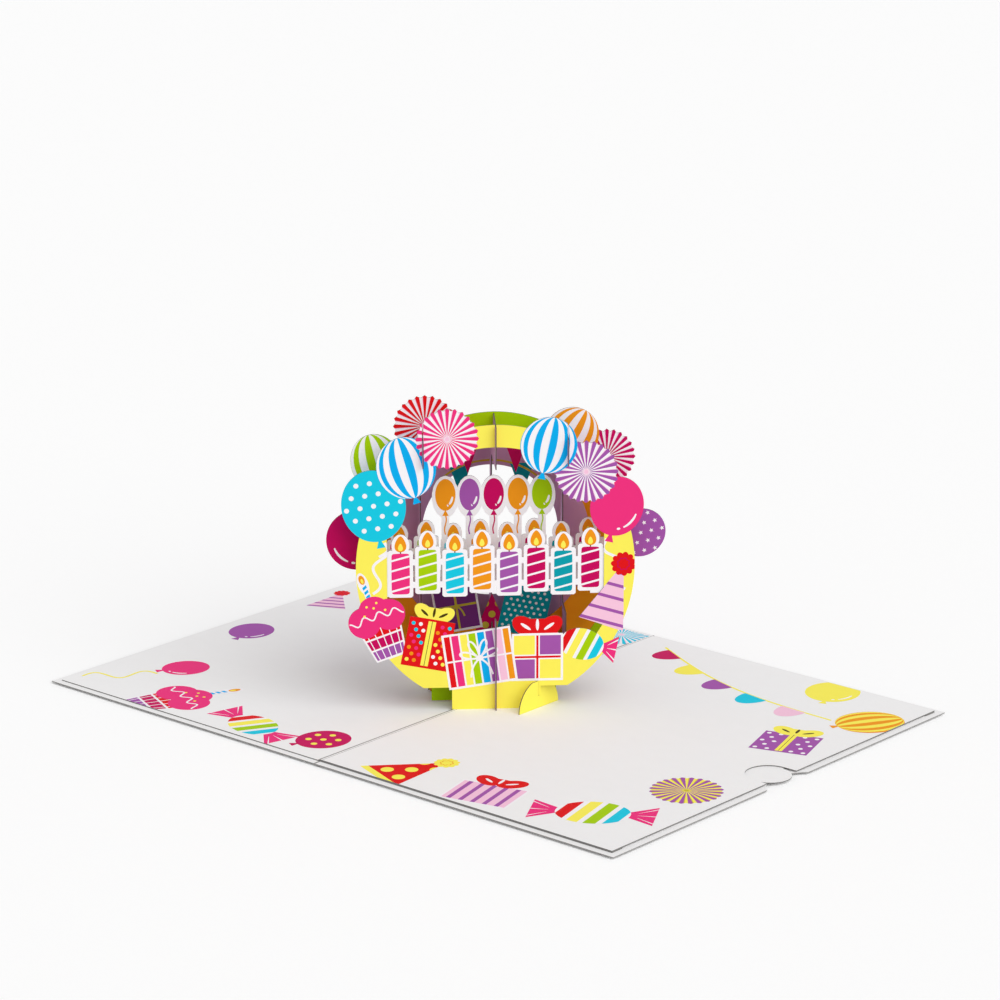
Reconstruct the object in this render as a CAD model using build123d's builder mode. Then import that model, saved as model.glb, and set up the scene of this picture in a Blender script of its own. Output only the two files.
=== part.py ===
from build123d import *
from math import cos, pi, radians, sin, sqrt, tan
import os

# Card stock and blanks, in millimetres
panel_width = 127.0
card_height = 177.8
cover_thickness = 0.4
liner_thickness = 0.35
note_thickness = 0.3
stock = 0.35
liner_inset = 2.5
crease_width = 0.6
crease_depth = 0.12
fold_gap = 0.4

# Pocket and slide-out note card
sheet_gap = 0.05
pocket_rim = 5.0
note_side_gap = 1.5
pull_radius = 7.4
pull_gap = 0.6
cover_notch_radius = 14.6
cover_notch_depth = 5.0

# Lattice: four slices face the viewer, three cross slices lock them together
lattice_turn = 45.0
slice_spacing = 9.77
cross_spacing = 24.4
slot_play = 0.06
cross_reach = 2.5
tab_hook = 1.2

# Rings of the four slices: half their height, and half the front one's width
ring_height = 50.45
front_radius = 49.8
second_radius = 51.8
third_radius = 48.5
back_radius = 45.5
ring_half_width = 47.2
ring_taper = 0.8
front_band = 7.8
window_flat = 5.3
sill_height = 20.8
third_hole_radius = 33.8
third_hole_rise = 3.4
third_sill_rise = 2.2
back_hole_radius = 23.4
back_hole_rise = 4.5
ring_clearance = 7.9

# Feet of the slices
outer_foot_tail = 14.9
inner_foot_half = 21.4

# Cross slices
arm_rise = 9.0
arm_top = 31.8
centre_arm_top = 24.0
limb_gap = 1.2
centre_hook = 35.0
side_arm_front = 9.0
side_arm_rise = 4.0
side_nose_rise = 0.6
crown_drop = 0.4
side_crown_rise = 2.0
corner_radius = 4.0

# Anchor tabs
tab_radius = 10.15
tab_rise = 9.6
tab_join = 4.4

# Rows of shapes that span the windows
row_count = 8
halo = 1.15
candle_width = 6.2
candle_length = 14.4
candle_wobble = 1.2
flame_width = 3.8
flame_length = 5.6
tie_heights = [2.2, 10.2]
tie_width = 2.2
row_base = 41.4
second_row_lift = 0.9
row_end_lap = 2.2
row_end_height = 16.0
bud_count = 5
bud_pitch = 8.2
bud_width = 6.9
bud_length = 12.6
bud_height = 72.7
bud_stem = 2.6
border_sides = 18

# Cut-out shapes round the rings
fan_pleats = 24
pleat_depth = 0.9
neck_width = 2.8
neck_length = 2.2

# Balloons as angle and distance beyond the ring's radius, width, length and lean
front_balloons = [
    (130.3, -3.4, 20.0, 21.5, 16.0),
    (151.5, -3.1, 21.7, 25.0, 9.5),
    (67.1, -3.8, 19.0, 19.5, -12.0),
    (26.8, -3.9, 18.1, 20.7, -12.0),
]
second_balloons = [
    (138.9, 1.0, 17.0, 20.0, 14.0),
    (170.7, -4.6, 20.6, 21.0, 10.0),
    (58.8, -1.0, 18.5, 19.0, -30.0),
    (9.4, -1.0, 16.5, 17.5, -48.0),
]
# Pleated fans as angle, distance beyond the ring's radius and radius
front_fans = [(109.8, -1.8, 10.6), (47.2, -4.9, 10.9)]
second_fans = [(116.2, 0.8, 10.7), (42.7, 0.3, 9.8)]
# Presents as angle and distance inside the ring's radius, width, height, lean and bow size
front_gifts = [
    (229.3, 14.6, 15.6, 17.4, -11.0, 3.4),
    (260.3, 17.2, 23.5, 19.6, 8.0, 0.0),
    (293.8, 14.6, 17.4, 16.8, 0.0, 4.2),
]
# The same for the third slice, with the distance inside the radius of its round opening
third_gifts = [
    (242.0, 7.6, 15.5, 18.0, 9.0, 0.0),
    (296.0, 7.2, 16.0, 20.0, -12.0, 0.0),
]
hat_width = 16.0
hat_length = 22.5
hat_lean = -19.4
hat_angle = 329.8
hat_inset = 8.3
small_hat_width = 12.5
small_hat_length = 15.0
cake_angle = 206.4
cake_inset = 5.7
cake_width = 15.0
cake_base = 10.8
cake_height = 12.5
cake_lean = 20.0
icing_radius = 5.4
icing_rise = 2.4
icing_offset = 4.5
wick_width = 1.6
sweet_angle = 316.5
sweet_inset = 9.4
sweet_width = 15.0
sweet_height = 11.0
sweet_lean = -12.0
wrapper_length = 4.6
wrapper_width = 9.6
pennant_width = 8.0
pennant_length = 8.6
pennant_root = 3.0
# Ribbon loops, as shares of the bow's size, and their lean
loop_rise = 0.6
loop_length = 1.15
loop_width = 0.75
knot_size = 0.62
loop_lean = 35.0
third_pennants = [76.0, 104.0]
back_pennants = [62.0, 116.0]

# Heights that the sizes above fix
pocket_floor = cover_thickness + 2 * sheet_gap + note_thickness
right_deck = pocket_floor + liner_thickness
left_deck = cover_thickness + liner_thickness
ring_centre = right_deck + ring_height
ring_bottom = right_deck + ring_clearance
window_radius = front_radius - front_band
window_half_width = window_radius - window_flat
sill = right_deck + sill_height
overall = ring_centre + second_radius + 2 * window_radius
slot_width = stock + 2 * slot_play
slice_places = [slice_spacing * step for step in (-1.5, -0.5, 0.5, 1.5)]
front_place, second_place, third_place, back_place = slice_places
cross_end = back_place + cross_reach
turn = radians(lattice_turn)
tab_place = back_place / cos(turn)
third_hole_centre = ring_centre + third_hole_rise
back_hole_centre = ring_centre + back_hole_rise
row_floor = right_deck + row_base
row_pitch = 2 * window_half_width / row_count
last_candle = (row_count - 1) / 2 * row_pitch
ring_heights = (front_radius, second_radius, third_radius, back_radius)
ring_sizes = [(ring_half_width - ring_taper * step, ring_heights[step]) for step in range(len(ring_heights))]
front_ring, second_ring, third_ring, back_ring = ring_sizes


def slice_plane(place):
    """Upright plane across the lattice: local x runs along the slice, local y is height."""
    return Plane(
        origin=(-place * sin(turn), place * cos(turn), 0),
        x_dir=(cos(turn), sin(turn), 0),
        z_dir=(sin(turn), -cos(turn), 0),
    )


def cross_plane(place):
    """Upright plane along the lattice: local x runs from front to back, local y is height."""
    return Plane(
        origin=(place * cos(turn), place * sin(turn), 0),
        x_dir=(-sin(turn), cos(turn), 0),
        z_dir=(cos(turn), sin(turn), 0),
    )


def rim(size, place):
    """Height of an oval's top edge at a distance from its middle: size is half its width and height."""
    half_width, half_height = size
    return ring_centre + half_height * sqrt(max(1 - (place / half_width) ** 2, 0))


def top_join(place):
    """Height at which a slice's slot meets a cross slice's slot, near the top of the rings."""
    return (rim((window_radius, window_radius), place) + rim(back_ring, place)) / 2


def bottom_join(place):
    """The same height near the bottom: the centre slots start at the card, the side ones at the ring."""
    start = right_deck if place == 0 else ring_bottom
    return (start + sill) / 2


def bar(low_x, low_y, high_x, high_y, mode=Mode.ADD):
    """Rectangle given by its two corners."""
    with Locations(((low_x + high_x) / 2, (low_y + high_y) / 2)):
        Rectangle(high_x - low_x, high_y - low_y, mode=mode)


def slot(place, low, high, width=slot_width):
    """Upright slot, cut from low to high."""
    bar(place - width / 2, low, place + width / 2, high, mode=Mode.SUBTRACT)


def on_ring(angle, distance, lean=0):
    """Place at an angle and distance from the ring's centre, turned by lean."""
    across = distance * cos(radians(angle))
    up = ring_centre + distance * sin(radians(angle))
    return Location((across, up, 0), (0, 0, lean))


def ring(size):
    """Oval plate with its foot end cut flat."""
    half_width, half_height = size
    with Locations((0, ring_centre)):
        Ellipse(half_width, half_height)
    bar(-half_width, ring_centre - half_height, half_width, ring_bottom, mode=Mode.SUBTRACT)


def window(half_width):
    """Round window with a flat sill and, where half_width is smaller, flat sides."""
    with BuildSketch(mode=Mode.PRIVATE) as opening:
        with Locations((0, ring_centre)):
            Circle(window_radius)
        bar(-half_width, sill, half_width, overall, mode=Mode.INTERSECT)
    add(opening.sketch, mode=Mode.SUBTRACT)


def balloon(angle, beyond, width, length, lean, radius):
    """Balloon with its tied neck."""
    with Locations(on_ring(angle, radius + beyond, lean)):
        Ellipse(width / 2, length / 2)
        with Locations((0, -length / 2)):
            Polygon(
                (0, neck_length / 2),
                (-neck_width / 2, -neck_length),
                (neck_width / 2, -neck_length),
                align=None,
            )


def fan(angle, beyond, size, radius):
    """Pleated fan: its rim steps between the outer and the inner end of each pleat."""
    rim = []
    for step in range(2 * fan_pleats):
        reach = size - pleat_depth * (step % 2)
        rim.append((reach * cos(pi * step / fan_pleats), reach * sin(pi * step / fan_pleats)))
    with Locations(on_ring(angle, radius + beyond)):
        Polygon(*rim, align=None)


def bow_loops(size, lid):
    """Two loops of ribbon on a lid and the knot between them."""
    for side in (-1, 1):
        with Locations(Location((side * size, lid + size * loop_rise, 0), (0, 0, side * loop_lean))):
            Ellipse(size * loop_length, size * loop_width)
    bar(-size * knot_size, lid, size * knot_size, lid + 2 * size * knot_size)


def gift(angle, distance, width, height, lean, bow, rise=0):
    """Present, with a bow on its lid where bow is set."""
    with Locations(Location((0, rise, 0)) * on_ring(angle, distance, lean)):
        Rectangle(width, height)
        if bow:
            bow_loops(bow, height / 2)


def hat(width, length):
    """Party hat that stands on the current location."""
    Polygon((-width / 2, 0), (width / 2, 0), (0, length), align=None)


def cupcake():
    """Cupcake: tapered case, three rounds of icing and a candle with its flame."""
    wick_top = 2 * icing_rise + 2 * icing_radius
    with Locations(on_ring(cake_angle, front_radius - cake_inset, cake_lean)):
        Polygon(
            (-cake_base / 2, -cake_height),
            (cake_base / 2, -cake_height),
            (cake_width / 2, 0),
            (-cake_width / 2, 0),
            align=None,
        )
        with Locations((-icing_offset, icing_rise), (icing_offset, icing_rise), (0, 2 * icing_rise)):
            Circle(icing_radius)
        bar(-wick_width / 2, icing_rise, wick_width / 2, wick_top)
        with Locations((0, wick_top)):
            Ellipse(wick_width, flame_width)


def sweet():
    """Wrapped sweet: oval body between two flared wrapper ends."""
    with Locations(on_ring(sweet_angle, front_radius - sweet_inset, sweet_lean)):
        Ellipse(sweet_width / 2, sweet_height / 2)
        for side in (-1, 1):
            Polygon(
                (side * (sweet_width / 2 - wrapper_length / 2), 0),
                (side * (sweet_width / 2 + wrapper_length), wrapper_width / 2),
                (side * (sweet_width / 2 + wrapper_length), -wrapper_width / 2),
                align=None,
            )


def pennant(angle, hole_radius, hole_centre):
    """Pennant that hangs from the edge of a round hole."""
    across = hole_radius * cos(radians(angle))
    up = hole_centre + hole_radius * sin(radians(angle))
    with Locations((across, up)):
        Polygon(
            (-pennant_width / 2, pennant_root),
            (pennant_width / 2, pennant_root),
            (0, -pennant_length),
            align=None,
        )


def cut_corner_plate(half_width, half_height, corner):
    """Rectangle on the current location with its four corners cut off."""
    wide, high = half_width - corner, half_height - corner
    Polygon(
        (-half_width, -high),
        (-wide, -half_height),
        (wide, -half_height),
        (half_width, -high),
        (half_width, high),
        (wide, half_height),
        (-wide, half_height),
        (-half_width, high),
        align=None,
    )


def border_oval(width, length):
    """White border round a flame or a small balloon: an oval cut in short straight sides."""
    half_width, half_length = width / 2 + halo, length / 2 + halo
    angles = [2 * pi * (number + 1 / 2) / border_sides for number in range(border_sides)]
    Polygon(*[(half_width * cos(angle), half_length * sin(angle)) for angle in angles], align=None)


def candle_row(base):
    """Row of candles, each cut with a border all round, and the two ties that join them."""
    for height in tie_heights:
        bar(-last_candle, base + height, last_candle, base + height + tie_width)
    for number in range(row_count):
        across = number * row_pitch - last_candle
        low = base + candle_wobble * (number % 2)
        with Locations((across, low + candle_length / 2)):
            cut_corner_plate(candle_width / 2 + halo, candle_length / 2 + halo, halo / 2)
        with Locations((across, low + candle_length + flame_length / 2)):
            border_oval(flame_width, flame_length)


def row_ends(reach, base):
    """Strips that carry the two ends of a row to the ring."""
    for side in (-1, 1):
        with Locations((side * (last_candle + reach) / 2, base + candle_length / 2)):
            Rectangle(reach - last_candle, row_end_height)


def bud_row():
    """Row of small balloons that touch, each on a stem which rises from the row of candles."""
    middle = right_deck + bud_height
    for number in range(bud_count):
        across = (number - (bud_count - 1) / 2) * bud_pitch
        with Locations((across, middle)):
            border_oval(bud_width, bud_length)
        bar(across - bud_stem / 2, row_floor + tie_heights[-1], across + bud_stem / 2, middle)


def centre_slots():
    """Slots of the front and back slices: they open upwards, and the cross slices slide down into them."""
    slot(0, bottom_join(0), row_floor - halo)
    for place in cross_places:
        slot(place, top_join(place), overall)


def drop_in_slots():
    """Slots of the second and third slices: they open downwards, so these two slide down last."""
    for place in cross_places:
        slot(place, right_deck, bottom_join(place))
        slot(place, top_join(place) - 2 * arm_rise, top_join(place))


def cross_outline(place, rise):
    """Cross slice before its openings: its top edge runs from ring to ring."""
    tops = [rim(size, place) + rise for size in ring_sizes]
    with BuildLine() as edge:
        crown = Polyline((-cross_end, tops[0]), *zip(slice_places, tops), (cross_end, tops[-1]))
        Polyline(crown @ 1, (cross_end, right_deck), (-cross_end, right_deck), crown @ 0)
    make_face(edge.edges())


def drop_in_grooves(place):
    """Slots of a cross slice that open upwards, for the second and third slices, in both its arms."""
    for slice_place in (second_place, third_place):
        slot(slice_place, bottom_join(place), right_deck + arm_top + corner_radius)
        slot(slice_place, top_join(place), overall)


def arm_low(place):
    """Height of the lower edge of a cross slice's top arm."""
    return top_join(place) - (arm_rise if place == 0 else side_arm_rise)


def cross_window(place, low):
    """Opening from the front edge to the limb, from the lower arm's top edge to the upper arm."""
    high = arm_low(place)
    limb_front = third_place + limb_gap
    with Locations(((limb_front - cross_end) / 2 - corner_radius, (low + high) / 2)):
        RectangleRounded(
            limb_front + cross_end + 2 * corner_radius, high - low, corner_radius, mode=Mode.SUBTRACT
        )


cross_places = (-cross_spacing, 0, cross_spacing)
limb_back = back_place - limb_gap
liner_width = panel_width - liner_inset - fold_gap
liner_middle = fold_gap + liner_width / 2
liner_length = card_height - 2 * liner_inset
pull_centre = panel_width - pull_radius - sheet_gap
slanted_slot = stock * (1 / sin(turn) + 1 / tan(turn)) + 2 * slot_play
foot_end = (tab_place - stock / 2 - slot_play) / cos(turn) - stock / 2 + front_place

os.makedirs("parts", exist_ok=True)

# Cover: one sheet, scored along the fold, with a thumb notch in the right edge
with BuildPart() as cover:
    with BuildSketch():
        Rectangle(2 * panel_width, card_height)
        with Locations((panel_width + cover_notch_radius - cover_notch_depth, 0)):
            Circle(cover_notch_radius, mode=Mode.SUBTRACT)
    extrude(amount=cover_thickness)
    with BuildSketch(Plane.XY.offset(cover_thickness)):
        Rectangle(crease_width, card_height)
    extrude(amount=-crease_depth, mode=Mode.SUBTRACT)
cover.part.label = "cover"
export_step(cover.part, "parts/cover.step")

# Left liner, with the slit that takes the left anchor tab
with BuildPart() as liner_left:
    with BuildSketch(Plane.XY.offset(cover_thickness)):
        with Locations((-liner_middle, 0)):
            Rectangle(liner_width, liner_length)
        with Locations((-tab_place, 0)):
            Rectangle(slot_width, 2 * tab_radius + 2 * slot_play, mode=Mode.SUBTRACT)
    extrude(amount=liner_thickness)
liner_left.part.label = "liner_left"
export_step(liner_left.part, "parts/liner_left.step")

# Right liner: the sheet lies over the note card, and a glued rim closes three sides of the pocket
with BuildPart() as liner_right:
    with BuildSketch(Plane.XY.offset(cover_thickness)):
        with Locations((liner_middle, 0)):
            Rectangle(liner_width, liner_length)
        bar(
            fold_gap + pocket_rim,
            pocket_rim - liner_length / 2,
            panel_width,
            liner_length / 2 - pocket_rim,
            mode=Mode.SUBTRACT,
        )
    extrude(amount=pocket_floor - cover_thickness)
    with BuildSketch(Plane.XY.offset(pocket_floor)):
        with Locations((liner_middle, 0)):
            Rectangle(liner_width, liner_length)
        with Locations((tab_place, 0)):
            Rectangle(slot_width, 2 * tab_radius + 2 * slot_play, mode=Mode.SUBTRACT)
        with Locations((pull_centre, 0)):
            Circle(pull_radius + pull_gap, mode=Mode.SUBTRACT)
        bar(pull_centre, -pull_radius - pull_gap, panel_width, pull_radius + pull_gap, mode=Mode.SUBTRACT)
    extrude(amount=liner_thickness)
liner_right.part.label = "liner_right"
export_step(liner_right.part, "parts/liner_right.step")

# Note card, which slides out of the pocket by its round pull
note_left = fold_gap + pocket_rim + note_side_gap
note_half_height = liner_length / 2 - pocket_rim - note_side_gap
with BuildPart() as note_card:
    with BuildSketch(Plane.XY.offset(cover_thickness + sheet_gap)):
        bar(note_left, -note_half_height, pull_centre, note_half_height)
        with Locations((pull_centre, 0)):
            Circle(pull_radius)
    extrude(amount=note_thickness)
note_card.part.label = "note_card"
export_step(note_card.part, "parts/note_card.step")


def anchor_outline(deck):
    """Round-topped tab on its liner, with a root in the slit and a slot for the slice's corner."""
    with BuildSketch(mode=Mode.PRIVATE) as dome:
        with Locations((0, deck)):
            Circle(tab_radius)
        bar(-tab_radius, deck, tab_radius, deck + tab_rise, mode=Mode.INTERSECT)
    add(dome.sketch)
    bar(-tab_radius, deck - liner_thickness, tab_radius, deck)
    slot(0, deck + tab_join, deck + tab_radius, width=slanted_slot)


# Anchor tabs: each stands in its slit, parallel to the fold, and holds one corner of the lattice
with BuildPart() as anchor_tab_right:
    with BuildSketch(Plane(origin=(tab_place, 0, 0), x_dir=(0, 1, 0), z_dir=(1, 0, 0))):
        anchor_outline(right_deck)
    extrude(amount=stock / 2, both=True)
anchor_tab_right.part.label = "anchor_tab_right"
export_step(anchor_tab_right.part, "parts/anchor_tab_right.step")

with BuildPart() as anchor_tab_left:
    with BuildSketch(Plane(origin=(-tab_place, 0, 0), x_dir=(0, 1, 0), z_dir=(1, 0, 0))):
        anchor_outline(left_deck)
    extrude(amount=stock / 2, both=True)
anchor_tab_left.part.label = "anchor_tab_left"
export_step(anchor_tab_left.part, "parts/anchor_tab_left.step")

# Front slice: a ring with presents along its lower edge and balloons and fans on its shoulders
with BuildPart() as front_slice:
    with BuildSketch(slice_plane(front_place)):
        ring(front_ring)
        window(window_half_width)
        bar(-outer_foot_tail, right_deck, foot_end, sill)
        bar(0, right_deck + tab_join + slot_play, foot_end + tab_hook, sill)
        for shape in front_fans:
            fan(*shape, front_radius)
        for shape in front_balloons:
            balloon(*shape, front_radius)
        for angle, inset, *shape in front_gifts:
            gift(angle, front_radius - inset, *shape)
        with Locations(on_ring(hat_angle, front_radius - hat_inset, hat_lean)):
            hat(hat_width, hat_length)
        cupcake()
        sweet()
        centre_slots()
    extrude(amount=stock / 2, both=True)
front_slice.part.label = "front_slice"
export_step(front_slice.part, "parts/front_slice.step")

# Front row: a strip of candles glued behind the window of the front slice
with BuildPart() as front_row:
    with BuildSketch(slice_plane(front_place + stock)):
        candle_row(row_floor)
        row_ends(window_half_width + row_end_lap, row_floor)
    extrude(amount=stock / 2, both=True)
front_row.part.label = "front_row"
export_step(front_row.part, "parts/front_row.step")

# Second slice: a larger ring whose window holds a row of candles and a row of small balloons
with BuildPart() as second_slice:
    with BuildSketch(slice_plane(second_place)):
        ring(second_ring)
        window(window_radius)
        bar(-inner_foot_half, right_deck, inner_foot_half, sill)
        for shape in second_fans:
            fan(*shape, second_radius)
        for shape in second_balloons:
            balloon(*shape, second_radius)
        drop_in_slots()
        candle_row(row_floor + second_row_lift)
        row_ends(window_radius + row_end_lap, row_floor + second_row_lift)
        bud_row()
    extrude(amount=stock / 2, both=True)
second_slice.part.label = "second_slice"
export_step(second_slice.part, "parts/second_slice.step")

# Third slice: presents and a hat stand in its round opening, and pennants hang from the top
with BuildPart() as third_slice:
    with BuildSketch(slice_plane(third_place)):
        ring(third_ring)
        with Locations((0, third_hole_centre)):
            Circle(third_hole_radius, mode=Mode.SUBTRACT)
        bar(-third_hole_radius / 2, sill, third_hole_radius / 2, sill + third_sill_rise)
        bar(-inner_foot_half, right_deck, inner_foot_half, sill)
        for angle, inset, *shape in third_gifts:
            gift(angle, third_hole_radius - inset, *shape, rise=third_hole_rise)
        with Locations((0, third_hole_centre - third_hole_radius)):
            hat(small_hat_width, small_hat_length)
        for angle in third_pennants:
            pennant(angle, third_hole_radius, third_hole_centre)
        drop_in_slots()
    extrude(amount=stock / 2, both=True)
third_slice.part.label = "third_slice"
export_step(third_slice.part, "parts/third_slice.step")

# Back slice: a disc with a round hole, and pennants over it
with BuildPart() as back_slice:
    with BuildSketch(slice_plane(back_place)):
        ring(back_ring)
        with Locations((0, back_hole_centre)):
            Circle(back_hole_radius, mode=Mode.SUBTRACT)
        bar(-foot_end, left_deck, outer_foot_tail, sill)
        bar(-foot_end - tab_hook, left_deck + tab_join + slot_play, 0, sill)
        for angle in back_pennants:
            pennant(angle, back_hole_radius, back_hole_centre)
        centre_slots()
    extrude(amount=stock / 2, both=True)
back_slice.part.label = "back_slice"
export_step(back_slice.part, "parts/back_slice.step")

# Centre cross slice: both arms reach past all four slices, and the lower one ends in a taller nose
with BuildPart() as centre_cross:
    with BuildSketch(cross_plane(0)):
        cross_outline(0, -crown_drop)
        cross_window(0, right_deck + centre_arm_top)
        bar(-cross_end, right_deck, front_place + limb_gap, right_deck + arm_top)
        bar(limb_back, right_deck + centre_hook, cross_end, arm_low(0), mode=Mode.SUBTRACT)
        for place in (front_place, back_place):
            slot(place, right_deck, bottom_join(0))
            slot(place, arm_low(0) - corner_radius, top_join(0))
        drop_in_grooves(0)
    extrude(amount=stock / 2, both=True)
centre_cross.part.label = "centre_cross"
export_step(centre_cross.part, "parts/centre_cross.step")


def side_cross_outline(place):
    """Side cross slice: only its top arm reaches past the front slice and the back slice."""
    cross_outline(place, side_crown_rise)
    cross_window(place, right_deck + arm_top)
    bar(-cross_end, right_deck, cross_end, ring_bottom, mode=Mode.SUBTRACT)
    bar(-cross_end, right_deck, -side_arm_front, arm_low(place), mode=Mode.SUBTRACT)
    bar(-cross_end, right_deck, front_place, top_join(place) - side_nose_rise, mode=Mode.SUBTRACT)
    bar(limb_back, right_deck, cross_end, arm_low(place), mode=Mode.SUBTRACT)
    for slice_place in (front_place, back_place):
        slot(slice_place, arm_low(place) - corner_radius, top_join(place))
    drop_in_grooves(place)


# Side cross slices
with BuildPart() as left_cross:
    with BuildSketch(cross_plane(-cross_spacing)):
        side_cross_outline(-cross_spacing)
    extrude(amount=stock / 2, both=True)
left_cross.part.label = "left_cross"
export_step(left_cross.part, "parts/left_cross.step")

with BuildPart() as right_cross:
    with BuildSketch(cross_plane(cross_spacing)):
        side_cross_outline(cross_spacing)
    extrude(amount=stock / 2, both=True)
right_cross.part.label = "right_cross"
export_step(right_cross.part, "parts/right_cross.step")
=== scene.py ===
"""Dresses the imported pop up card: card stock, cut edges, and the flat print on its slices and liners.

Every print is one flat layer. Its shapes are closed outlines worked out as whole arrays, in millimetres on
the sheet that carries them, and they are merged into one set of faces that ends where the cut sheet ends.
"""

import bpy
import numpy as np
from bpy.props import FloatProperty, FloatVectorProperty, IntProperty, PointerProperty
from bpy.types import Operator, Panel, PropertyGroup
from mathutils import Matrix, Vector
from mathutils.geometry import delaunay_2d_cdt


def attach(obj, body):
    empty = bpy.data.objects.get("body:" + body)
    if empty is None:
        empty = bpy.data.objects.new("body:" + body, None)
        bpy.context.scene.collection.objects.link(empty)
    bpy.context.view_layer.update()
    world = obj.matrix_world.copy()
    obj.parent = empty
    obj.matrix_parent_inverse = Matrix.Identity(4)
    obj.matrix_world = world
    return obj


bl_info = {
    "name": "Pop Up Card",
    "version": (1, 0, 0),
    "blender": (4, 5, 0),
    "location": "View3D > Sidebar > Pop Up Card",
    "description": "Card stock and print for a pop up card with a lattice of slotted slices",
    "category": "Object",
}

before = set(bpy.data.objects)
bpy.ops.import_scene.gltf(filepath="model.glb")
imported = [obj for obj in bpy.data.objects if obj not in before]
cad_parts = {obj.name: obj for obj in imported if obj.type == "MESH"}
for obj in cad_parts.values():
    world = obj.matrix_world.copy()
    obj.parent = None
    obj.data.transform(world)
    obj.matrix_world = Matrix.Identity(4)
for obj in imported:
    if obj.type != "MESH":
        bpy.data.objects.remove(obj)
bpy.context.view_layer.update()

# Inks of the candles and of the small balloons, from left to right
CANDLE_INKS = ("hot_pink", "lime", "cyan", "orange", "purple", "magenta", "teal", "magenta")
BUD_INKS = ("orange", "purple", "magenta", "orange", "lime")

# Sizes of the cut sheets in millimetres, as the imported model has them. TURN is the cosine of 45 degrees
TURN = np.sqrt(0.5)
SLICE_SPACING = 9.77
FRONT, SECOND, THIRD, BACK = (SLICE_SPACING * step for step in (-1.5, -0.5, 0.5, 1.5))
STOCK = 0.35
RIGHT_DECK, LEFT_DECK = 1.15, 0.75
RING_CENTRE = RIGHT_DECK + 50.45
FRONT_RADIUS, SECOND_RADIUS = 49.8, 51.8
WINDOW_RADIUS, WINDOW_HALF = 42.0, 36.7
THIRD_HOLE, THIRD_HOLE_CENTRE = 33.8, RING_CENTRE + 3.4
BACK_HOLE, BACK_HOLE_CENTRE = 23.4, RING_CENTRE + 4.5
ROW_FLOOR, SECOND_LIFT = RIGHT_DECK + 41.4, 0.9
ROW_PITCH = 2 * WINDOW_HALF / len(CANDLE_INKS)
CANDLE_WIDTH, CANDLE_LENGTH, CANDLE_WOBBLE = 6.2, 14.4, 1.2
FLAME_WIDTH, FLAME_LENGTH = 3.8, 5.6
BUD_PITCH, BUD_WIDTH, BUD_LENGTH = 8.2, 6.9, 12.6
BUD_CENTRE = RIGHT_DECK + 72.7
CASE_WIDTH, CASE_BASE, CASE_HEIGHT = 15.0, 10.8, 12.5
ICING_RADIUS, ICING_RISE, ICING_OFFSET = 5.4, 2.4, 4.5

# Stage in metres. The floor is a little under the card, and the camera stands where the photograph's did
FLOOR_HALF, FLOOR_DROP = 9, 0.0006
SUN_FROM, SUN_SPREAD = (0.715, -0.139, 0.685), 60
CAMERA_PLACE, CAMERA_AIM = (0.81770, -0.93311, 0.43158), (-0.15869, 0.18557, 0)
CAMERA_LENS, CAMERA_SENSOR = 136.8, 36


def srgb(red, green, blue):
    """The linear colour that renders as this one: ((c + 0.055) / 1.055) ** 2.4, or c / 12.92 if dark."""
    c = np.array((red, green, blue)) / 255
    return tuple(np.where(c > 0.04045, ((c + 0.055) / 1.055) ** 2.4, c / 12.92))


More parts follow.
